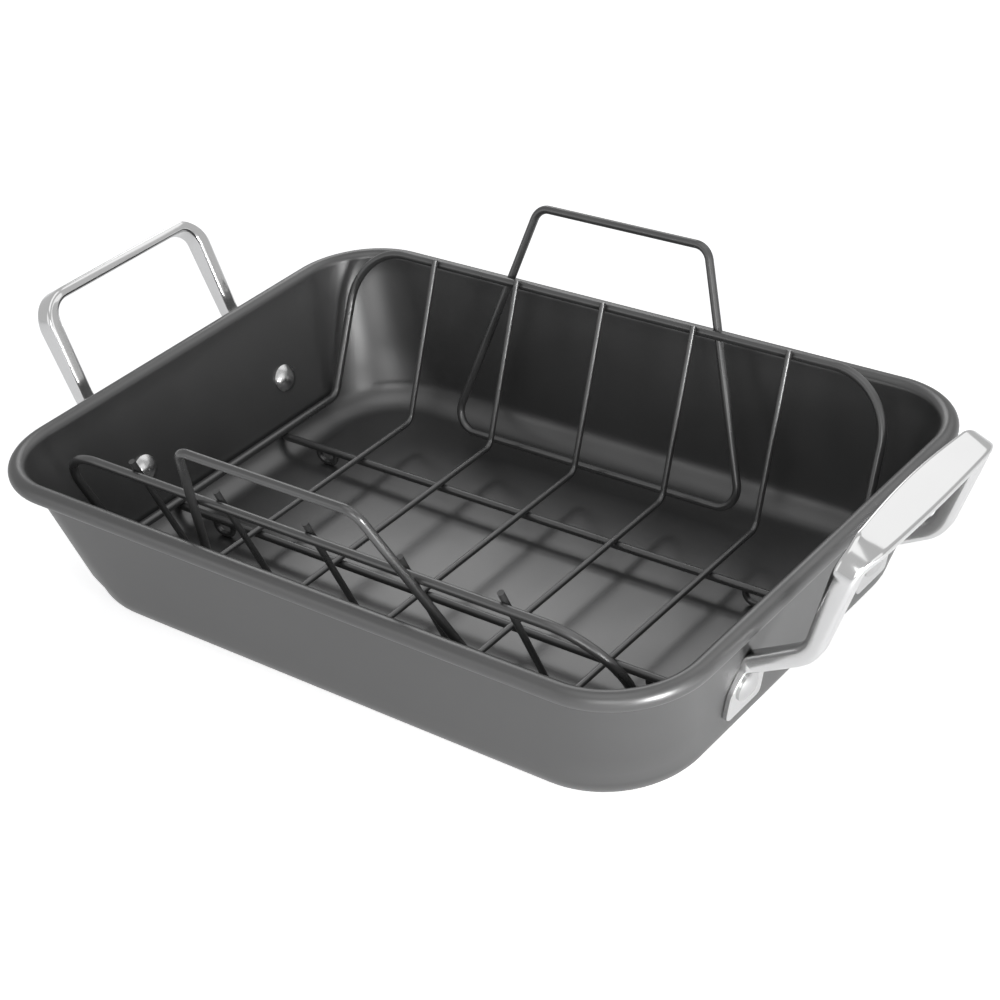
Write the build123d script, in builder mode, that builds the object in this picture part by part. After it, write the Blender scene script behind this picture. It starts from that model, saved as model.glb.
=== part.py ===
from build123d import *
import os
from math import atan2, cos, hypot, pi, radians, sin, tan

# Roasting pan with a lift-out wire rack, in millimetres.
# X runs along the pan, -Y is the near long side and +Z is up.
# The origin is the middle of the pan's base, on the surface that the pan stands on.

# Pan: one pressed steel sheet with flared walls and a rolled rim
rim_length = 400.0
rim_width = 289.0
pan_height = 82.0
rim_corner_radius = 46.2
bead_radius = 4.6
sheet = 1.0
end_wall_lean = 13.03
side_wall_lean = 11.09
base_corner_radius = 47.0
base_fillet = 17.5
curl_end_angle = 65.0

# Pan handles: stainless straps, riveted to the end walls a little behind their middle
handle_spacing = 108.0
handle_shift = 1.8
tab_width = 25.0
tab_top_width = 12.0
tab_thickness = 3.0
tab_below_rivet = 16.0
tab_above_rivet = 11.0
tab_corner_radius = 2.5
strap_above_rivet = 9.5
strap_outer_width = 11.0
strap_inner_width = 7.2
strap_depth = 6.0
strap_chamfer = 1.1
elbow_reach = 21.0
elbow_drop = 17.0
elbow_radius = 12.0
corner_reach = 32.3
corner_rise = 23.3
corner_radius = 16.0
grip_lean = 30.0
grip_thickness = 5.8
grip_inward = 10.2
grip_outward = 8.1
grip_bow = 1.8
corner_steps = 5
grip_steps = 3

# Rivets: domed heads on both sides of the wall
rivet_height = 36.5
rivet_head_diameter = 15.0
rivet_head_rise = 3.8
rivet_shank_diameter = 6.0
rivet_fit = 0.05

# Rack: welded wires. The rack lies loosely in the pan, a little to the left of its middle
rack_shift = -5.5
frame_wire = 4.6
cross_wire = 3.2
rail_wire = 4.2
loop_wire = 4.4
foot_wire = 3.2
weld_bite = 0.15
rail_height = 10.3
rack_end_gap = 33.8
rack_side_gap = 24.2
frame_side_run = 37.3
frame_bend_radius = 7.0
frame_top_height = 91.7
near_side_in = 7.3
near_side_drop = 6.5
frame_arch_radius = 32.0
cross_wire_count = 5
cross_wire_spacing = 55.15
cross_bend_step = 1.8
cross_bend_radius = 6.0
near_tip_rise = 6.0
far_tip_rise = 2.5
rail_half_spacing = 40.5
rail_overhang = 0.5

# Rack handles: one tall closed loop on each long side, welded outside the frame
loop_lean = 19.4
loop_bar_height = 8.8
loop_top_height = 129.3
near_loop_drop = 4.0
loop_bar_half = 92.3
loop_top_half = 52.2
loop_bar_radius = 11.0
loop_top_radius = 9.0

# Rack feet: small bent wires under the rails, which hold the rack off the pan's floor
foot_end_gap = 30.2
foot_half_width = 6.0
floor_gap = 0.3

cut_over = 1.0

os.makedirs("parts", exist_ok=True)


def keep(piece, label):
    """Label a finished piece and write it."""
    piece.part.label = label
    export_step(piece.part, f"parts/{label}.step")


# Pan body
wall_inset = 2 * bead_radius - sheet
wall_top_height = pan_height - bead_radius
wall_top_length = rim_length - 2 * wall_inset
wall_top_width = rim_width - 2 * wall_inset
wall_top_corner = rim_corner_radius - wall_inset
end_run_in = tan(radians(end_wall_lean))
side_run_in = tan(radians(side_wall_lean))
curl_radius = bead_radius - sheet / 2


def wall_outline(height, inset):
    """Length, width and corner radius of the wall's outline at a height."""
    drop = wall_top_height - height
    length = wall_top_length - 2 * drop * end_run_in - 2 * inset
    width = wall_top_width - 2 * drop * side_run_in - 2 * inset
    corner = wall_top_corner + (base_corner_radius - wall_top_corner) * drop / wall_top_height
    return length, width, corner - inset


def wall_solid(floor, inset, fillet_radius):
    """The space inside one skin of the wall, from a floor height up to the rim."""
    with BuildPart() as space:
        for height in (floor, wall_top_height):
            with BuildSketch(Plane.XY.offset(height)):
                RectangleRounded(*wall_outline(height, inset))
        loft(ruled=True)
        base_edges = space.faces().sort_by(Axis.Z)[0].edges()
        fillet(base_edges, fillet_radius)
    return space.part


rim_half_length = rim_length / 2 - bead_radius
rim_half_width = rim_width / 2 - bead_radius
rim_bend = rim_corner_radius - bead_radius
straight_length = 2 * (rim_half_length - rim_bend)
straight_width = 2 * (rim_half_width - rim_bend)


def curl_profile(plane):
    """The rolled rim's section: a curl that starts on the wall and turns outwards."""
    with BuildSketch(plane) as section:
        with BuildLine():
            CenterArc((0, 0), curl_radius, 180, -180 - curl_end_angle)
            offset(amount=sheet / 2, side=Side.BOTH, kind=Kind.INTERSECTION)
        make_face()
    return section.sketch


lean_cos = cos(radians(end_wall_lean))
lean_sin = sin(radians(end_wall_lean))
rivet_wall_x = wall_outline(rivet_height, 0)[0] / 2


def wall_plane(y_side, side=1):
    """The plane on the outside of an end wall, at its front rivet, its rear one or between them."""
    y = handle_shift + y_side * handle_spacing / 2
    return Plane((side * rivet_wall_x, y, rivet_height), (0, 1, 0), (side * lean_cos, 0, -lean_sin))


with BuildPart() as pan_body:
    add(wall_solid(0, 0, base_fillet))
    add(wall_solid(sheet, sheet, base_fillet - sheet), mode=Mode.SUBTRACT)
    for side in (1, -1):
        end_plane = Plane((side * rim_half_length, 0, wall_top_height), (side, 0, 0), (0, -side, 0))
        extrude(curl_profile(end_plane), straight_width / 2, both=True)
        long_plane = Plane((0, side * rim_half_width, wall_top_height), (0, side, 0), (side, 0, 0))
        extrude(curl_profile(long_plane), straight_length / 2, both=True)
    for x_side, y_side in ((1, 1), (-1, 1), (-1, -1), (1, -1)):
        centre_x = x_side * straight_length / 2
        centre_y = y_side * straight_width / 2
        start_point = (centre_x + x_side * rim_bend, centre_y, wall_top_height)
        start = Plane(start_point, (x_side, 0, 0), (0, -x_side, 0))
        turn = Axis((centre_x, centre_y, 0), (0, 0, x_side * y_side))
        revolve(curl_profile(start), axis=turn, revolution_arc=90)
    # Rivet holes through both end walls
    for side in (1, -1):
        for y_side in (1, -1):
            with BuildSketch(wall_plane(y_side, side)):
                Circle(rivet_shank_diameter / 2 + rivet_fit)
            extrude(amount=sheet + cut_over, both=True, mode=Mode.SUBTRACT)
keep(pan_body, "pan_body")


# Pan handles
tab_low = -tab_below_rivet / lean_cos
tab_high = tab_above_rivet / lean_cos
strap_low = strap_above_rivet / lean_cos
elbow_x = rim_length / 2 + elbow_reach
elbow_height = pan_height - elbow_drop
corner_x = rim_length / 2 + corner_reach
corner_height = pan_height + corner_rise
strap_start_x = rivet_wall_x + strap_low * lean_sin + tab_thickness / 2 * lean_cos
strap_start_z = rivet_height + strap_low * lean_cos - tab_thickness / 2 * lean_sin
leg_lean = atan2(corner_x - elbow_x, corner_height - elbow_height)
grip_half = (handle_spacing + strap_outer_width) / 2 - corner_radius


def chamfered(corners):
    """A closed outline with each of its corners cut off."""
    points = []
    for index, corner in enumerate(corners):
        here = Vector(*corner)
        for other in (corners[index - 1], corners[(index + 1) % len(corners)]):
            points.append(here + (Vector(*other) - here).normalized() * strap_chamfer)
    return points


def strap_section(turn_share, across_share=0.0):
    """The strap's section: round the top corner first, then from there to the middle of the grip."""
    share = turn_share * turn_share * (3 - 2 * turn_share)
    lean = leg_lean + (radians(grip_lean) - leg_lean) * share
    turn = turn_share * pi / 2
    outward = Vector(sin(turn) * sin(lean), cos(turn), sin(turn) * cos(lean))
    across = Vector(cos(lean), 0, -sin(lean))
    bow = grip_bow * (1 - sin(across_share * pi / 2))
    low = -strap_depth / 2 + (strap_depth / 2 - grip_inward + bow) * share * share
    high = strap_depth / 2 + (grip_outward - bow / 3 - strap_depth / 2) * share
    taper = (strap_outer_width - strap_inner_width) / 2 * (1 - share)
    depth = strap_outer_width + (grip_thickness - strap_outer_width) * share
    corners = (
        (corner_radius - depth, high),
        (corner_radius, high),
        (corner_radius - taper, low),
        (corner_radius - depth + taper, low),
    )
    centre = (corner_x, handle_shift + grip_half * (1 - across_share), corner_height)
    with BuildSketch(Plane(centre, outward, outward.cross(across))) as section:
        with BuildLine():
            Polyline(*chamfered(corners), close=True)
        make_face()
    return section.sketch


def strap_leg():
    """One leg: from the tab out to the elbow and up to the corner of the grip."""
    y = handle_shift + handle_spacing / 2
    start = Vector(strap_start_x, y, strap_start_z)
    elbow = Vector(elbow_x, y, elbow_height)
    top = Vector(corner_x, y, corner_height)
    corners = (
        (-strap_outer_width / 2, -strap_depth / 2),
        (strap_outer_width / 2, -strap_depth / 2),
        (strap_inner_width / 2, strap_depth / 2),
        (-strap_inner_width / 2, strap_depth / 2),
    )
    with BuildPart() as leg:
        with BuildLine() as route:
            FilletPolyline(start, elbow, top, radius=elbow_radius)
        with BuildSketch(Plane(start, x_dir=(0, 1, 0), z_dir=(elbow - start).normalized())):
            with BuildLine():
                Polyline(*chamfered(corners), close=True)
            make_face()
        sweep(path=route.line)
    return leg.part


with BuildPart() as handle_right:
    with BuildSketch(wall_plane(1)) as tab:
        with BuildLine():
            Polyline(
                (-tab_width / 2, tab_low),
                (tab_width / 2, tab_low),
                (tab_top_width / 2, tab_high),
                (-tab_top_width / 2, tab_high),
                close=True,
            )
        make_face()
        fillet(tab.vertices(), tab_corner_radius)
    extrude(amount=tab_thickness)
    add(strap_leg())
    # Nothing of the strap reaches into the wall
    split(bisect_by=wall_plane(0), keep=Keep.TOP)
    for step in range(corner_steps):
        loft([strap_section(step / corner_steps), strap_section((step + 1) / corner_steps)], ruled=True)
    for step in range(grip_steps):
        loft([strap_section(1, step / grip_steps), strap_section(1, (step + 1) / grip_steps)], ruled=True)
    with BuildSketch(wall_plane(1)):
        Circle(rivet_shank_diameter / 2 + rivet_fit)
    extrude(amount=tab_thickness + cut_over, mode=Mode.SUBTRACT)
    mirror(about=Plane.XZ.offset(-handle_shift))
keep(handle_right, "handle_right")

with BuildPart() as handle_left:
    mirror(handle_right.part, about=Plane.YZ)
keep(handle_left, "handle_left")


# Rivets
wall_thickness = sheet * lean_cos


def rivet_solid(y_side):
    """A rivet in the right end wall, with its shank through the wall and the tab."""
    seat = wall_plane(y_side)
    head_radius = rivet_head_diameter / 2
    shank_radius = rivet_shank_diameter / 2
    edge_rise = rivet_head_rise / 4
    with BuildPart() as rivet:
        with BuildSketch(Plane(seat.origin, x_dir=seat.z_dir, z_dir=(0, 1, 0))):
            with BuildLine():
                inner_tip = (-wall_thickness - rivet_head_rise, 0)
                inner_edge = (-wall_thickness - edge_rise, head_radius)
                outer_edge = (tab_thickness + edge_rise, head_radius)
                outer_tip = (tab_thickness + rivet_head_rise, 0)
                TangentArc(inner_tip, inner_edge, tangent=(0, 1))
                Polyline(
                    inner_edge,
                    (-wall_thickness, head_radius),
                    (-wall_thickness, shank_radius),
                    (tab_thickness, shank_radius),
                    (tab_thickness, head_radius),
                    outer_edge,
                )
                TangentArc(outer_tip, outer_edge, tangent=(0, 1))
                Line(inner_tip, outer_tip)
            make_face()
        revolve(axis=Axis(seat.origin, seat.z_dir))
    return rivet.part


for y_side, place in ((-1, "front"), (1, "rear")):
    with BuildPart() as rivet_right:
        add(rivet_solid(y_side))
    keep(rivet_right, f"rivet_right_{place}")
    with BuildPart() as rivet_left:
        mirror(rivet_right.part, about=Plane.YZ)
    keep(rivet_left, f"rivet_left_{place}")


# Rack
def wire_along(diameter, points, radii):
    """A round wire along straight runs that are joined by arcs."""
    with BuildPart() as wire:
        with BuildLine() as route:
            FilletPolyline(*points, radius=radii)
        with BuildSketch(Plane(route.line @ 0, z_dir=route.line % 0)):
            Circle(diameter / 2)
        sweep(path=route.line)
    return wire.part


frame_half_length = rim_length / 2 - rack_end_gap
frame_top_half = rim_width / 2 - rack_side_gap
frame_bend_half = frame_top_half - frame_side_run
cross_bend_half = frame_bend_half - cross_bend_step
near_top_half = frame_top_half - near_side_in
near_top_height = frame_top_height - near_side_drop
rail_top = rail_height + rail_wire / 2
frame_low = rail_top + frame_wire / 2 - weld_bite
cross_low = rail_top + cross_wire / 2 - weld_bite

# Frame: one closed wire, made as two halves that meet in the middle of the top runs
with BuildPart() as rack_frame:
    for side in (1, -1):
        end_x = rack_shift + side * frame_half_length
        half_points = (
            (rack_shift, frame_top_half, frame_top_height),
            (end_x, frame_top_half, frame_top_height),
            (end_x, frame_bend_half, frame_low),
            (end_x, -frame_bend_half, frame_low),
            (end_x, -near_top_half, near_top_height),
            (rack_shift, -near_top_half, near_top_height),
        )
        half_radii = [frame_arch_radius, frame_bend_radius, frame_bend_radius, frame_arch_radius]
        add(wire_along(frame_wire, half_points, half_radii))
keep(rack_frame, "rack_frame")

# Cross wires: each leans on the inside of the frame's top runs
cross_offset = (frame_wire + cross_wire) / 2 - weld_bite


def cross_tip(y_side, top_half, top_height, rise):
    """Y and Z of a cross wire's end, a little above the frame's top run on that side."""
    lean_out = top_half - cross_bend_half
    lean_up = top_height - cross_low
    lean_reach = hypot(lean_out, lean_up)
    angle = atan2(lean_out, lean_up) - atan2(cross_offset, lean_reach)
    reach = (lean_reach**2 - cross_offset**2) ** 0.5 + rise
    return y_side * (cross_bend_half + reach * sin(angle)), cross_low + reach * cos(angle)


for index in range(cross_wire_count):
    wire_x = rack_shift + (index - (cross_wire_count - 1) / 2) * cross_wire_spacing
    near_y, near_z = cross_tip(-1, near_top_half, near_top_height, near_tip_rise)
    far_y, far_z = cross_tip(1, frame_top_half, frame_top_height, far_tip_rise)
    cross_points = (
        (wire_x, near_y, near_z),
        (wire_x, -cross_bend_half, cross_low),
        (wire_x, cross_bend_half, cross_low),
        (wire_x, far_y, far_z),
    )
    with BuildPart() as cross_piece:
        add(wire_along(cross_wire, cross_points, cross_bend_radius))
    keep(cross_piece, f"cross_wire_{index + 1}")

# Rails: two straight wires under the cross wires and the frame's end runs
rail_half_length = frame_half_length + rail_overhang
for y_side, place in ((-1, "front"), (1, "rear")):
    rail_start = (rack_shift - rail_half_length, y_side * rail_half_spacing, rail_height)
    with BuildPart() as rail:
        with BuildSketch(Plane(rail_start, (0, 1, 0), (1, 0, 0))):
            Circle(rail_wire / 2)
        extrude(amount=2 * rail_half_length)
        fillet(rail.edges().filter_by(GeomType.CIRCLE), rail_wire / 8)
    keep(rail, f"rack_rail_{place}")

# Rack handles: closed loops whose legs pass the frame's top run on its outside
loop_offset = (frame_wire + loop_wire) / 2 - weld_bite
loop_cos = cos(radians(loop_lean))
loop_sin = sin(radians(loop_lean))
loop_length = (loop_top_height - loop_bar_height) / loop_cos


def loop_point(y_side, bar_y, bar_height, across, along):
    """A point of a rack handle, from how far it is across and up the handle's leaning plane."""
    return rack_shift + across, y_side * (bar_y + along * loop_sin), bar_height + along * loop_cos


near_bar_height = loop_bar_height - near_loop_drop
for y_side, place, top_half, top_height, bar_height in (
    (-1, "front", near_top_half, near_top_height, near_bar_height),
    (1, "rear", frame_top_half, frame_top_height, loop_bar_height),
):
    bar_y = top_half + (loop_offset - (top_height - bar_height) * loop_sin) / loop_cos
    with BuildPart() as rack_handle:
        for side in (1, -1):
            loop_points = (
                loop_point(y_side, bar_y, bar_height, 0, 0),
                loop_point(y_side, bar_y, bar_height, side * loop_bar_half, 0),
                loop_point(y_side, bar_y, bar_height, side * loop_top_half, loop_length),
                loop_point(y_side, bar_y, bar_height, 0, loop_length),
            )
            add(wire_along(loop_wire, loop_points, [loop_bar_radius, loop_top_radius]))
    keep(rack_handle, f"rack_handle_{place}")

# Rack feet
foot_half_spacing = frame_half_length - foot_end_gap
foot_low = sheet + floor_gap + foot_wire / 2
foot_high = rail_height - rail_wire / 2 + rail_wire / 8
foot_bend_radius = (foot_high - foot_low) * 0.8
foot_number = 0
for y_side in (-1, 1):
    for side in (-1, 1):
        foot_number += 1
        foot_x = rack_shift + side * foot_half_spacing
        foot_y = y_side * rail_half_spacing
        foot_points = (
            (foot_x - foot_half_width, foot_y, foot_high),
            (foot_x - foot_half_width, foot_y, foot_low),
            (foot_x + foot_half_width, foot_y, foot_low),
            (foot_x + foot_half_width, foot_y, foot_high),
        )
        with BuildPart() as foot:
            add(wire_along(foot_wire, foot_points, foot_bend_radius))
        keep(foot, f"rack_foot_{foot_number}")
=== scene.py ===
# %% [markdown]
# A roasting pan with a wire rack. Its rivets and welded wires come from the imported model, which is the
# frame that every piece here is placed in. The pan and its handles are lofted again in smooth strips. This
# first cell loads the frame and sets up helpers that measure a part's box and the bounds of the whole scene.

# %% Load the frame
import bpy
from math import atan2, cos, pi, radians, sin, tan
from mathutils import Matrix, Vector


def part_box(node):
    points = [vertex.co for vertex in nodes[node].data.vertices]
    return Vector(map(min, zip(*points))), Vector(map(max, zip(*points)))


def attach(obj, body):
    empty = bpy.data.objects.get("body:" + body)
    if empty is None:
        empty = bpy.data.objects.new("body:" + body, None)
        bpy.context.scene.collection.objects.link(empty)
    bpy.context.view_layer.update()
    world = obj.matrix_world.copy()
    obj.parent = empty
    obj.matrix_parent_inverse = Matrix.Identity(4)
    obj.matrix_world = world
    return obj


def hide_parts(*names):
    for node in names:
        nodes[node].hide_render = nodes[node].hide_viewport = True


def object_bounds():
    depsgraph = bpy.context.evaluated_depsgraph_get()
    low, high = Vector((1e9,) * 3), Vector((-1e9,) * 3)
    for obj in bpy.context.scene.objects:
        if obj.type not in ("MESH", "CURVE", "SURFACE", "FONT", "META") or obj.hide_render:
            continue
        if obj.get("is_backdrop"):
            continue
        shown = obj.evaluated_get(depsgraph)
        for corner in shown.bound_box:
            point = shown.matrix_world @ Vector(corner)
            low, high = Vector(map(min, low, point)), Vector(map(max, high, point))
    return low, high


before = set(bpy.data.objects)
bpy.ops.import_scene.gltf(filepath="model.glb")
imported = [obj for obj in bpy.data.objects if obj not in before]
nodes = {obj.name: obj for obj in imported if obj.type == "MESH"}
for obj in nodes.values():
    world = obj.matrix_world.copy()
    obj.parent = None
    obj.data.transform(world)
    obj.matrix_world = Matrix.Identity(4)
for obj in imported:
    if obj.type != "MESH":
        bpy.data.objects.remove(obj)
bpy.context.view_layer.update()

mm = 0.001


# %% [markdown]
# The camera looks at the pan from the front right, a little tilted about its own axis. Its three axes are
# written as directions in the pan's frame: to the right of the picture, up it, and back towards the lens.
# Placing a camera by its axes keeps the tilt, which a target and an up vector would lose.

# %% Camera
camera_data = bpy.data.cameras.new("camera")
camera_data.lens = 80.99
camera_data.sensor_width = 36.0
camera_data.clip_start = 0.01
camera = bpy.data.objects.new("camera", camera_data)
bpy.context.scene.collection.objects.link(camera)
picture_right = Vector((0.78848799, 0.60729315, -0.09737414))
picture_up = Vector((-0.25736313, 0.46956793, 0.84455324))
picture_back = Vector((0.55861518, -0.64085957, 0.52654354))
camera_place = Vector((618.41, -694.58, 618.46)) * mm
camera.matrix_world = Matrix.Translation(camera_place) @ Matrix(
    (picture_right, picture_up, picture_back)
).transposed().to_4x4()
bpy.context.scene.camera = camera
print("camera distance in mm:", round(camera_place.length / mm))


# %% [markdown]
# The world answers each kind of ray with its own brightness. It is plain white for the camera and a light
# grey for reflections, because polished steel shows whatever stands round it. The light that it gives off
# is dim and slightly cool, so that the lamps do the shaping. The floor is white paper that keeps the soft
# shadow under the pan. It glows for the camera, to come near the white behind it, and less for other rays,
# as the light that paper throws back onto the pan.

# %% World and floor
def new_link(tree, output, target):
    """Join two sockets of a node tree."""
    tree.links.new(output, target)


def add_node(tree, kind, at, **values):
    """A node of a kind at a place in the tree, with some of its settings."""
    node = tree.nodes.new(kind)
    node.location = at
    for name, value in values.items():
        setattr(node, name, value)
    return node


def add_glow(tree, kind, at, colour, strength):
    """A background or emission node of one colour and strength."""
    node = add_node(tree, kind, at)
    node.inputs["Color"].default_value = colour
    node.inputs["Strength"].default_value = strength
    return node


white = (1.0, 1.0, 1.0, 1.0)
cool_white = (0.95, 0.97, 1.0, 1.0)
paper_white = (0.86, 0.86, 0.86, 1.0)
ambient_strength = 0.25
reflected_strength = 0.62
backdrop_strength = 1.0
paper_glow_strength = 0.7
bounce_strength = 0.36

world = bpy.data.worlds.new("studio")
bpy.context.scene.world = world
world.use_nodes = True
world_tree = world.node_tree
world_tree.nodes.clear()
world_out = add_node(world_tree, "ShaderNodeOutputWorld", (700, 0))
world_path = add_node(world_tree, "ShaderNodeLightPath", (-500, 200))
ambient = add_glow(world_tree, "ShaderNodeBackground", (0, 100), cool_white, ambient_strength)
around = add_glow(world_tree, "ShaderNodeBackground", (0, -60), white, reflected_strength)
backdrop = add_glow(world_tree, "ShaderNodeBackground", (0, -220), white, backdrop_strength)
glossy_mix = add_node(world_tree, "ShaderNodeMixShader", (250, 60))
camera_mix = add_node(world_tree, "ShaderNodeMixShader", (480, 0))
new_link(world_tree, world_path.outputs["Is Glossy Ray"], glossy_mix.inputs[0])
new_link(world_tree, ambient.outputs[0], glossy_mix.inputs[1])
new_link(world_tree, around.outputs[0], glossy_mix.inputs[2])
new_link(world_tree, world_path.outputs["Is Camera Ray"], camera_mix.inputs[0])
new_link(world_tree, glossy_mix.outputs[0], camera_mix.inputs[1])
new_link(world_tree, backdrop.outputs[0], camera_mix.inputs[2])
new_link(world_tree, camera_mix.outputs[0], world_out.inputs["Surface"])

floor_material = bpy.data.materials.new("paper_sweep")
floor_material.use_nodes = True
floor_tree = floor_material.node_tree
floor_tree.nodes.clear()
floor_out = add_node(floor_tree, "ShaderNodeOutputMaterial", (700, 0))
floor_path = add_node(floor_tree, "ShaderNodeLightPath", (-300, 300))
paper = add_node(floor_tree, "ShaderNodeBsdfDiffuse", (0, 0))
paper.inputs["Color"].default_value = paper_white
paper_glow = add_glow(floor_tree, "ShaderNodeEmission", (0, -160), white, paper_glow_strength)
bounce = add_glow(floor_tree, "ShaderNodeEmission", (0, -300), white, bounce_strength)
glow_mix = add_node(floor_tree, "ShaderNodeMixShader", (250, -160))
paper_sum = add_node(floor_tree, "ShaderNodeAddShader", (480, 0))
new_link(floor_tree, floor_path.outputs["Is Camera Ray"], glow_mix.inputs[0])
new_link(floor_tree, bounce.outputs[0], glow_mix.inputs[1])
new_link(floor_tree, paper_glow.outputs[0], glow_mix.inputs[2])
new_link(floor_tree, paper.outputs[0], paper_sum.inputs[0])
new_link(floor_tree, glow_mix.outputs[0], paper_sum.inputs[1])
new_link(floor_tree, paper_sum.outputs[0], floor_out.inputs["Surface"])

floor_half = 6.0
floor_mesh = bpy.data.meshes.new("floor")
corner_signs = ((-1, -1), (1, -1), (1, 1), (-1, 1))
floor_corners = [(x_sign * floor_half, y_sign * floor_half, 0) for x_sign, y_sign in corner_signs]
floor_mesh.from_pydata(floor_corners, [], [(0, 1, 2, 3)])
floor_object = bpy.data.objects.new("floor", floor_mesh)
floor_object.data.materials.append(floor_material)
bpy.context.scene.collection.objects.link(floor_object)
floor_object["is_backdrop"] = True
print("floor:", floor_half * 2, "m wide")


# %% [markdown]
# Seven square lamps light the pan. The top and right lamps are weak and large. The back lamp and the one at
# the back left shine over the rim, give the pan's floor its sheen and throw the wires' shadows on it. The
# low lamp stands just higher than the rim and aims at the foot of the end wall, so it lights the outside of
# that wall. The two front lamps face the outside of the long wall, and the right one is the stronger.

# %% Lamps
def softbox(name, place, target, size, power):
    """A square area lamp that looks at a point; place and target in metres."""
    lamp_data = bpy.data.lights.new(name, "AREA")
    lamp_data.shape = "SQUARE"
    lamp_data.size = size
    lamp_data.energy = power
    lamp = bpy.data.objects.new(name, lamp_data)
    lamp.location = place
    lamp.rotation_euler = (Vector(target) - Vector(place)).to_track_quat("-Z", "Y").to_euler()
    bpy.context.scene.collection.objects.link(lamp)


pan_middle = (0.0, 0.0, 0.04)
end_wall_foot = (0.28, 0.05, 0.0)
lamp_table = (
    ("lamp_top", (0.1, -0.35, 1.5), pan_middle, 1.1, 2.6),
    ("lamp_right", (1.3, 0.0, 0.6), pan_middle, 0.9, 1.5),
    ("lamp_back", (0.35, 1.25, 1.45), pan_middle, 1.4, 3.9),
    ("lamp_back_left", (-0.95, 1.1, 0.95), pan_middle, 0.7, 3.2),
    ("lamp_right_low", (0.7, -0.3, 0.13), end_wall_foot, 0.2, 4.5),
    ("lamp_front", (0.7, -1.4, 0.6), pan_middle, 0.8, 5.0),
    ("lamp_front_left", (-0.9, -1.3, 0.45), pan_middle, 0.8, 1.2),
)
for lamp_values in lamp_table:
    softbox(*lamp_values)
bpy.context.scene.view_settings.view_transform = "Standard"


# %% [markdown]
# Two effects are used by every finish here, so each is a node group with named inputs. The first is a fine
# grain: a coating sprayed on steel has a slight orange peel, and drawn wire has faint drawing marks. It
# gives a height for a Bump node, and a mask that no finish here uses. The second is handling: broad soft
# smudges that change how sharply a surface shines.

# %% Shared effects
def new_group(name, inputs, outputs):
    """A shader node group with float inputs (name, value) and float outputs."""
    group = bpy.data.node_groups.new(name, "ShaderNodeTree")
    for label, value in inputs:
        socket = group.interface.new_socket(label, in_out="INPUT", socket_type="NodeSocketFloat")
        socket.default_value = value
    for label in outputs:
        group.interface.new_socket(label, in_out="OUTPUT", socket_type="NodeSocketFloat")
    return group


grain = new_group("spray_grain", [("Grain Scale", 900.0), ("Speckle", 0.3)], ["Height", "Mask"])
grain_in = add_node(grain, "NodeGroupInput", (-700, 0))
grain_out = add_node(grain, "NodeGroupOutput", (500, 0))
grain_place = add_node(grain, "ShaderNodeTexCoord", (-900, -200))
peel = add_node(grain, "ShaderNodeTexNoise", (-450, 120))
peel.inputs["Detail"].default_value = 3.0
specks = add_node(grain, "ShaderNodeTexVoronoi", (-450, -160))
new_link(grain, grain_place.outputs["Object"], peel.inputs["Vector"])
new_link(grain, grain_place.outputs["Object"], specks.inputs["Vector"])
new_link(grain, grain_in.outputs["Grain Scale"], peel.inputs["Scale"])
new_link(grain, grain_in.outputs["Grain Scale"], specks.inputs["Scale"])
speck_edge = add_node(grain, "ShaderNodeMapRange", (-220, -160))
speck_edge.inputs["From Min"].default_value = 0.05
speck_edge.inputs["From Max"].default_value = 0.3
speck_edge.inputs["To Min"].default_value = 1.0
speck_edge.inputs["To Max"].default_value = 0.0
new_link(grain, specks.outputs["Distance"], speck_edge.inputs["Value"])
speck_level = add_node(grain, "ShaderNodeMath", (0, -160), operation="MULTIPLY")
new_link(grain, speck_edge.outputs["Result"], speck_level.inputs[0])
new_link(grain, grain_in.outputs["Speckle"], speck_level.inputs[1])
grain_height = add_node(grain, "ShaderNodeMath", (220, 60), operation="ADD")
new_link(grain, peel.outputs["Fac"], grain_height.inputs[0])
new_link(grain, speck_level.outputs[0], grain_height.inputs[1])
new_link(grain, grain_height.outputs[0], grain_out.inputs["Height"])
new_link(grain, peel.outputs["Fac"], grain_out.inputs["Mask"])

smudge_inputs = [("Smudge Scale", 14.0), ("Low", 0.3), ("High", 0.4)]
smudge = new_group("handling_smudge", smudge_inputs, ["Roughness", "Mask"])
smudge_in = add_node(smudge, "NodeGroupInput", (-700, 0))
smudge_out = add_node(smudge, "NodeGroupOutput", (500, 0))
smudge_place = add_node(smudge, "ShaderNodeTexCoord", (-900, -200))
cloud = add_node(smudge, "ShaderNodeTexNoise", (-450, 0))
cloud.inputs["Detail"].default_value = 4.0
cloud.inputs["Distortion"].default_value = 0.8
new_link(smudge, smudge_place.outputs["Object"], cloud.inputs["Vector"])
new_link(smudge, smudge_in.outputs["Smudge Scale"], cloud.inputs["Scale"])
smudge_range = add_node(smudge, "ShaderNodeMapRange", (-100, 60))
smudge_range.inputs["From Min"].default_value = 0.35
smudge_range.inputs["From Max"].default_value = 0.65
new_link(smudge, cloud.outputs["Fac"], smudge_range.inputs["Value"])
new_link(smudge, smudge_in.outputs["Low"], smudge_range.inputs["To Min"])
new_link(smudge, smudge_in.outputs["High"], smudge_range.inputs["To Max"])
new_link(smudge, smudge_range.outputs["Result"], smudge_out.inputs["Roughness"])
new_link(smudge, cloud.outputs["Fac"], smudge_out.inputs["Mask"])
print("node groups:", [g.name for g in bpy.data.node_groups])


# %% [markdown]
# Every finish is a Principled shader with the grain and the smudges wired in: the smudges set the
# roughness, the grain gives the bump, and a ramp between two close tones keeps the colour from being flat.
# One function builds them all, so that the finishes differ only in their values.

# %% Finishes
relief_depth = 0.05 * mm


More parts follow.
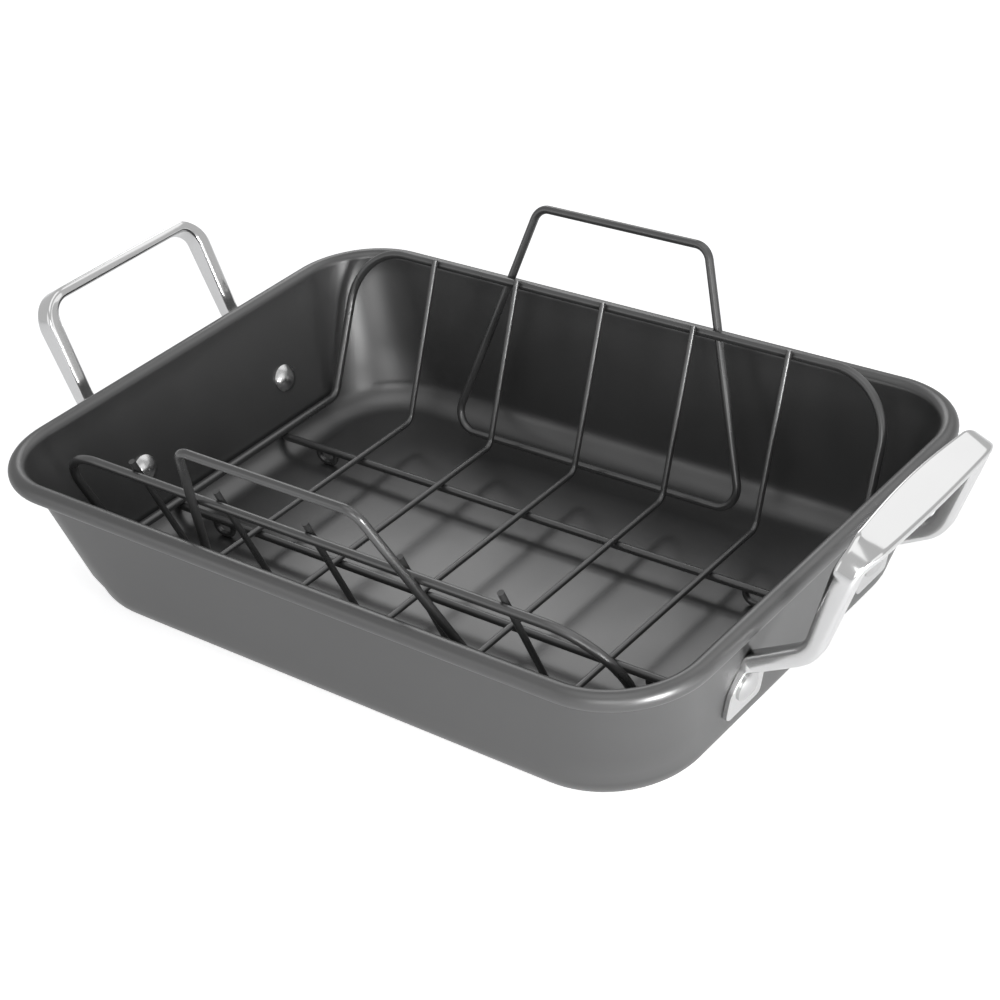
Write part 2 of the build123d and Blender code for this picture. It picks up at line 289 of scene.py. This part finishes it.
def finish_material(name, tones, metallic, roughness, grain_scale, speckle, bump, smudge_scale):
    """A coated or polished metal; tones is a dark and a light colour, roughness a low and a high value."""
    material = bpy.data.materials.new(name)
    material.use_nodes = True
    tree = material.node_tree
    shader = tree.nodes["Principled BSDF"]
    shader.inputs["Metallic"].default_value = metallic
    fine = add_node(tree, "ShaderNodeGroup", (-700, -200))
    fine.node_tree = grain
    fine.inputs["Grain Scale"].default_value = grain_scale
    fine.inputs["Speckle"].default_value = speckle
    marks = add_node(tree, "ShaderNodeGroup", (-700, 100))
    marks.node_tree = smudge
    marks.inputs["Smudge Scale"].default_value = smudge_scale
    marks.inputs["Low"].default_value = roughness[0]
    marks.inputs["High"].default_value = roughness[1]
    tone = add_node(tree, "ShaderNodeMix", (-350, 250), data_type="RGBA")
    tone.inputs["A"].default_value = (*tones[0], 1.0)
    tone.inputs["B"].default_value = (*tones[1], 1.0)
    relief = add_node(tree, "ShaderNodeBump", (-350, -250))
    relief.inputs["Strength"].default_value = bump
    relief.inputs["Distance"].default_value = relief_depth
    new_link(tree, marks.outputs["Mask"], tone.inputs["Factor"])
    new_link(tree, tone.outputs["Result"], shader.inputs["Base Color"])
    new_link(tree, marks.outputs["Roughness"], shader.inputs["Roughness"])
    new_link(tree, fine.outputs["Height"], relief.inputs["Height"])
    new_link(tree, relief.outputs["Normal"], shader.inputs["Normal"])
    return material


def grey(level):
    """A neutral colour of one level."""
    return level, level, level


coating = finish_material(
    "pan_coating", tones=(grey(0.12), grey(0.14)), metallic=0.75, roughness=(0.3, 0.38),
    grain_scale=1400.0, speckle=0.2, bump=0.25, smudge_scale=9.0,
)
wire_coating = finish_material(
    "wire_coating", tones=(grey(0.11), grey(0.14)), metallic=0.7, roughness=(0.26, 0.34),
    grain_scale=1600.0, speckle=0.3, bump=0.3, smudge_scale=30.0,
)
polished = finish_material(
    "polished_steel", tones=(grey(0.66), grey(0.73)), metallic=1.0, roughness=(0.12, 0.19),
    grain_scale=500.0, speckle=0.0, bump=0.04, smudge_scale=22.0,
)
rivet_finish = finish_material(
    "rivet_steel", tones=(grey(0.56), grey(0.66)), metallic=1.0, roughness=(0.2, 0.3),
    grain_scale=900.0, speckle=0.1, bump=0.1, smudge_scale=60.0,
)
print("finishes:", [m.name for m in bpy.data.materials])


# %% [markdown]
# The pan is pressed from one sheet, and its rim is rolled outwards. The frame holds the same form with flat
# facets, which a satin coating would show as bands. So the pan is lofted here as rings of points: each ring
# is a rounded rectangle at one station of the section, from the middle of the underside, out round the base
# fillet, up the wall, round the roll and down the inside again. Long smooth strips of quads reflect evenly.

# %% Pan section
rim_half_length = 200.0 * mm
rim_half_width = 144.5 * mm
pan_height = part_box("pan_body")[1].z
bead_radius = 4.6 * mm
sheet = 1.0 * mm
rim_corner_radius = 46.2 * mm
base_corner_radius = 47.0 * mm
base_fillet = 17.5 * mm
end_wall_lean = radians(13.03)
side_wall_lean = radians(11.09)
curl_end_angle = radians(65.0)

wall_top = pan_height - bead_radius
wall_inset = 2 * bead_radius - sheet


def wall_size(height, inset):
    """Half length, half width and corner radius of the wall's outline at a height."""
    drop = wall_top - height
    half_length = rim_half_length - wall_inset - drop * tan(end_wall_lean) - inset
    half_width = rim_half_width - wall_inset - drop * tan(side_wall_lean) - inset
    top_corner = rim_corner_radius - wall_inset
    corner = top_corner + (base_corner_radius - top_corner) * drop / wall_top - inset
    return half_length, half_width, corner


corner_points = 20
end_points = 10
side_points = 14


def ring(half_length, half_width, corner, end_height, side_height):
    """Points of one rounded rectangle, whose height may differ between the ends and the long sides."""
    points = []
    centre_x = half_length - corner
    centre_y = half_width - corner
    for quarter in range(4):
        x_sign = (1, -1, -1, 1)[quarter]
        y_sign = (1, 1, -1, -1)[quarter]
        for step in range(corner_points + 1):
            angle = (quarter + step / corner_points) * pi / 2
            share = sin(angle) ** 2
            height = end_height * (1 - share) + side_height * share
            points.append(Vector((
                x_sign * centre_x + corner * cos(angle),
                y_sign * centre_y + corner * sin(angle),
                height,
            )))
        start = points[-1]
        next_angle = (quarter + 1) * pi / 2
        next_x = (-1, -1, 1, 1)[quarter] * centre_x
        next_y = (1, -1, -1, 1)[quarter] * centre_y
        finish = Vector((next_x + corner * cos(next_angle), next_y + corner * sin(next_angle), start.z))
        runs = side_points if quarter % 2 == 0 else end_points
        points.extend(start.lerp(finish, step / runs) for step in range(1, runs))
    return points


def base_rings(floor, inset, radius, steps):
    """Rings from the flat of the floor, round the fillet, to where the wall starts."""
    half_length, half_width, corner = wall_size(floor, inset)
    rings = []
    for step in range(steps + 1):
        end_turn = (pi / 2 - end_wall_lean) * step / steps
        side_turn = (pi / 2 - side_wall_lean) * step / steps
        end_inset = radius * (tan((pi / 2 - end_wall_lean) / 2) - sin(end_turn))
        side_inset = radius * (tan((pi / 2 - side_wall_lean) / 2) - sin(side_turn))
        rings.append(ring(
            half_length - end_inset,
            half_width - side_inset,
            corner - (end_inset + side_inset) / 2,
            floor + radius * (1 - cos(end_turn)),
            floor + radius * (1 - cos(side_turn)),
        ))
    return rings


floor_shares = (0.92, 0.7, 0.45, 0.2)
smallest_corner = 3 * mm


def floor_rings(floor, inset, radius):
    """Rings inside the flat of the floor, from the innermost outwards."""
    half_length, half_width, corner = wall_size(floor, inset)
    edge = radius * tan((pi / 2 - end_wall_lean) / 2)
    rings = []
    for share in floor_shares:
        extra = edge + share * (half_width - edge)
        small_corner = max(corner - extra, smallest_corner)
        rings.append(ring(half_length - extra, half_width - extra, small_corner, floor, floor))
    return rings


def curl_ring(radius, angle):
    """A ring on the rolled rim, at a radius and an angle about the roll's own middle."""
    out = radius * cos(angle) - bead_radius
    height = wall_top + radius * sin(angle)
    return ring(rim_half_length + out, rim_half_width + out, rim_corner_radius + out, height, height)


wall_shares = (0.12, 0.3, 0.5, 0.7, 0.88)
curl_steps = 22
fillet_steps = 12
section = floor_rings(0.0, 0.0, base_fillet)
section += base_rings(0.0, 0.0, base_fillet, fillet_steps)
fillet_top = section[-1][0].z
for share in wall_shares:
    height = fillet_top + (wall_top - fillet_top) * share
    section.append(ring(*wall_size(height, 0.0), height, height))
for step in range(curl_steps + 1):
    section.append(curl_ring(bead_radius - sheet, pi - (pi + curl_end_angle) * step / curl_steps))
for step in range(curl_steps + 1):
    section.append(curl_ring(bead_radius, -curl_end_angle + (pi + curl_end_angle) * step / curl_steps))
for share in reversed(wall_shares):
    height = fillet_top + (wall_top - fillet_top) * share
    section.append(ring(*wall_size(height, sheet), height, height))
section += reversed(base_rings(sheet, sheet, base_fillet - sheet, fillet_steps))
section += reversed(floor_rings(sheet, sheet, base_fillet - sheet))
print("pan rings:", len(section), "points in each:", len(section[0]))


# %% Pan mesh
def loft_rings(name, rings):
    """A mesh through rings with equal numbers of points, capped at both ends."""
    count = len(rings[0])
    points = [tuple(point) for one in rings for point in one]
    faces = []
    for index in range(len(rings) - 1):
        for step in range(count):
            near = index * count + step
            beside = index * count + (step + 1) % count
            faces.append((near, beside, beside + count, near + count))
    faces.append(tuple(reversed(range(count))))
    faces.append(tuple(range((len(rings) - 1) * count, len(rings) * count)))
    mesh = bpy.data.meshes.new(name)
    mesh.from_pydata(points, [], faces)
    mesh.validate()
    return mesh


def add_piece(name, mesh, material, body, sharp=40.0):
    """A smooth object made of a mesh, riding on a body."""
    mesh.polygons.foreach_set("use_smooth", [True] * len(mesh.polygons))
    mesh.set_sharp_from_angle(angle=radians(sharp))
    piece = bpy.data.objects.new(name, mesh)
    piece.data.materials.append(material)
    bpy.context.scene.collection.objects.link(piece)
    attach(piece, body)
    return piece


pan_mesh = loft_rings("pan_shell", section)
pan_shell = add_piece("pan_shell", pan_mesh, coating, "pan")
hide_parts("pan_body")
print("pan faces:", len(pan_mesh.polygons))


# %% [markdown]
# Each handle is one stainless bar that starts as a flat riveted tab, bends out and up, and turns over into a
# broad thumb plate. A bar like that is a loft of sections along a path. Every section has a middle, a
# direction away from the loop and a direction across it, and four rounded corners whose place changes from
# tab to leg to plate. Towards the top the leg grows deeper on its outer side, to meet the plate. The far
# half is the near half mirrored, so the two ends match.

# %% Handle path
handle_shift = 4.2 * mm
handle_half = 54.8 * mm
rivet_height = 36.5 * mm
tab_bottom = 22.3 * mm
tab_low_width = 27.0 * mm
tab_high_width = 12.0 * mm
tab_thickness = 3.0 * mm
tab_round = 0.7 * mm
tab_top = 49.0 * mm
tab_bend_radius = 5.0 * mm
tab_bend_steps = 6
strap_start = 48.0 * mm
leg_outer_width = 8.8 * mm
leg_inner_width = 7.6 * mm
leg_depth = 9.0 * mm
leg_round = 2.4 * mm
leg_flare = 2.2 * mm
elbow = Vector((218.0, 64.0)) * mm
elbow_radius = 20.0 * mm
elbow_steps = 9
corner_middle = Vector((232.3, 105.3)) * mm
corner_radius = 17.0 * mm
grip_lean = radians(30.0)
grip_thickness = 5.8 * mm
grip_inward = 9.8 * mm
grip_outward = 8.1 * mm
grip_bow = 2.1 * mm
round_points = 6

leg_lean = atan2(corner_middle.x - elbow.x, corner_middle.y - elbow.y)
grip_half = handle_half + leg_outer_width / 2 - corner_radius
rivet_wall_x = wall_size(rivet_height, 0.0)[0]


def rounded_section(corners, radius):
    """Points of a closed outline with round corners; corners in order, in two directions."""
    points = []
    for index, corner in enumerate(corners):
        here = Vector(corner)
        before = (Vector(corners[index - 1]) - here).normalized()
        after = (Vector(corners[(index + 1) % len(corners)]) - here).normalized()
        first = here + before * radius
        last = here + after * radius
        for step in range(round_points):
            share = step / (round_points - 1)
            points.append(first.lerp(here, share).lerp(here.lerp(last, share), share))
    return points


def place_section(middle, outward, across, corners, radius):
    """A section's points in space."""
    return [middle + outward * u + across * v for u, v in rounded_section(corners, radius)]


def leg_section(x, z, lean, half_outer, half_inner, low, high, radius):
    """A section of the tab or leg: lean is the path's tilt from upright, low and high lie across it."""
    across = Vector((cos(lean), 0, -sin(lean)))
    middle = Vector((x, handle_shift + handle_half, z))
    corners = ((-half_outer, high), (half_outer, high), (half_inner, low), (-half_inner, low))
    return place_section(middle, Vector((0, 1, 0)), across, corners, radius)


def wall_point(height, out):
    """X and Z of a point off the end wall's outside."""
    along = (height - rivet_height) / cos(end_wall_lean)
    x = rivet_wall_x + along * sin(end_wall_lean) + out * cos(end_wall_lean)
    return x, rivet_height + along * cos(end_wall_lean) - out * sin(end_wall_lean)


def blend(first, last, share):
    """A value part of the way from one to another."""
    return first + (last - first) * share


def eased(share):
    """A share from 0 to 1 that starts and ends gently."""
    return share * share * (3 - 2 * share)


stations = []
tab_shares = (0.0, 0.02, 0.06, 0.12, 0.25, 0.4, 0.5, 0.6, 0.7, 0.8)
tab_trims = (0.84, 0.93, 0.985, 1.0, 1.0, 1.0, 1.0, 1.0, 1.0, 1.0)
narrowing_start = 0.45
narrowing_span = 0.55
half_tab = tab_thickness / 2
for share, trim in zip(tab_shares, tab_trims):
    height = tab_bottom + (tab_top - tab_bottom) * share
    x, z = wall_point(height, half_tab)
    narrowed = eased(max(0.0, (share - narrowing_start) / narrowing_span))
    width = blend(tab_low_width, tab_high_width, narrowed) * trim / 2
    stations.append(leg_section(x, z, end_wall_lean, width, width, -half_tab, half_tab, tab_round))

strap_x, strap_z = wall_point(strap_start, half_tab)


def bend_points(before, corner, after, radius, steps):
    """Points and leans round a bend of a path in the X-Z plane."""
    enter = (before - corner).normalized()
    leave = (after - corner).normalized()
    turn = pi - enter.angle(leave)
    reach = radius * tan(turn / 2)
    first = corner + enter * reach
    last = corner + leave * reach
    lean_first = atan2(-enter.x, -enter.y)
    lean_last = atan2(leave.x, leave.y)
    middle = corner + (enter + leave).normalized() * (radius / cos(turn / 2))
    bent = []
    for step in range(steps + 1):
        share = step / steps
        lean = lean_first + (lean_last - lean_first) * share
        side = 1 if lean_last < lean_first else -1
        bent.append((middle + Vector((cos(lean), -sin(lean))) * radius * side, lean))
    return bent


tab_side = Vector(wall_point(rivet_height, half_tab))
strap_corner = Vector((strap_x, strap_z))
first_bend = bend_points(tab_side, strap_corner, elbow, tab_bend_radius, tab_bend_steps)
for index, (point, lean) in enumerate(first_bend):
    share = (index + 1) / (len(first_bend) + 1)
    depth = blend(tab_thickness, leg_depth, share) / 2
    outer = blend(tab_high_width, leg_outer_width, share) / 2
    inner = blend(tab_high_width, leg_inner_width, share) / 2
    radius = blend(tab_round, leg_round, share)
    stations.append(leg_section(point.x, point.y, lean, outer, inner, -depth, depth, radius))
second_bend = bend_points(strap_corner, elbow, corner_middle, elbow_radius, elbow_steps)
half_outer = leg_outer_width / 2
half_inner = leg_inner_width / 2
half_depth = leg_depth / 2
for point, lean in second_bend:
    stations.append(leg_section(
        point.x, point.y, lean, half_outer, half_inner, -half_depth, half_depth, leg_round
    ))
leg_start = second_bend[-1][0]
flare_shares = (0.25, 0.5, 0.75)
for share in flare_shares:
    point = leg_start.lerp(corner_middle, share)
    high = half_depth + leg_flare * share
    stations.append(leg_section(
        point.x, point.y, leg_lean, half_outer, half_inner, -half_depth, high, leg_round
    ))
print("sections up to the corner:", len(stations))


# %% [markdown]
# The top corner turns the leg's section into the plate's. In that turn the plate's inner edge grows later
# than its outer edge, which keeps the corner slim. From the corner the plate widens to the middle of the
# grip, most on its inner side.

# %% Grip
def grip_section(turn_share, across_share):
    """A section round the top corner, or from there to the middle of the thumb plate."""
    share = eased(turn_share)
    lean = blend(leg_lean, grip_lean, share)
    turn = turn_share * pi / 2
    outward = Vector((sin(turn) * sin(lean), cos(turn), sin(turn) * cos(lean)))
    across = Vector((cos(lean), 0, -sin(lean)))
    bow = grip_bow * (1 - sin(across_share * pi / 2))
    low = -leg_depth / 2 + (leg_depth / 2 - grip_inward + bow) * share ** 3
    high = leg_depth / 2 + leg_flare + (grip_outward - leg_flare - bow / 3 - leg_depth / 2) * share ** 2
    taper = (leg_outer_width - leg_inner_width) / 2 * (1 - share)
    depth = blend(leg_outer_width, grip_thickness, share)
    middle = Vector((corner_middle.x, handle_shift + grip_half * (1 - across_share), corner_middle.y))
    corners = (
        (corner_radius - depth, high),
        (corner_radius, high),
        (corner_radius - taper, low),
        (corner_radius - depth + taper, low),
    )
    return place_section(middle, outward, across, corners, leg_round)


corner_steps = 12
plate_steps = 8
for step in range(corner_steps + 1):
    stations.append(grip_section(step / corner_steps, 0.0))
for step in range(1, plate_steps + 1):
    stations.append(grip_section(1.0, step / plate_steps))


def mirrored(points):
    """The same section on the other side of the handle's middle."""
    return [Vector((p.x, 2 * handle_shift - p.y, p.z)) for p in points]


handle_sections = stations + [mirrored(one) for one in reversed(stations[:-1])]
print("handle sections:", len(handle_sections))


# %% Handle meshes
def flipped(points, side):
    """The section on the right or the left end of the pan."""
    return [Vector((side * p.x, p.y, p.z)) for p in points]


handle_sharp = 50.0
for side, name in ((1, "right"), (-1, "left")):
    sections = [flipped(one, side) for one in handle_sections]
    if side < 0:
        sections.reverse()
    handle_mesh = loft_rings(f"handle_{name}_bar", sections)
    handle = add_piece(f"handle_{name}_bar", handle_mesh, polished, "pan", handle_sharp)
    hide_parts(f"handle_{name}")
    print(handle.name, "faces:", len(handle_mesh.polygons))


# %% [markdown]
# The rivets and the wires already have their true shapes in the frame, so they stay and only get finishes.

# %% Rivets and wires
for name, node in nodes.items():
    if name.startswith("rivet_"):
        node.data.materials.clear()
        node.data.materials.append(rivet_finish)
    elif name.startswith(("rack_", "cross_wire_")):
        node.data.materials.clear()
        node.data.materials.append(wire_coating)
print("wires:", sum(name.startswith(("rack_", "cross_wire_")) for name in nodes))


# %% Sizes
low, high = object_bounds()
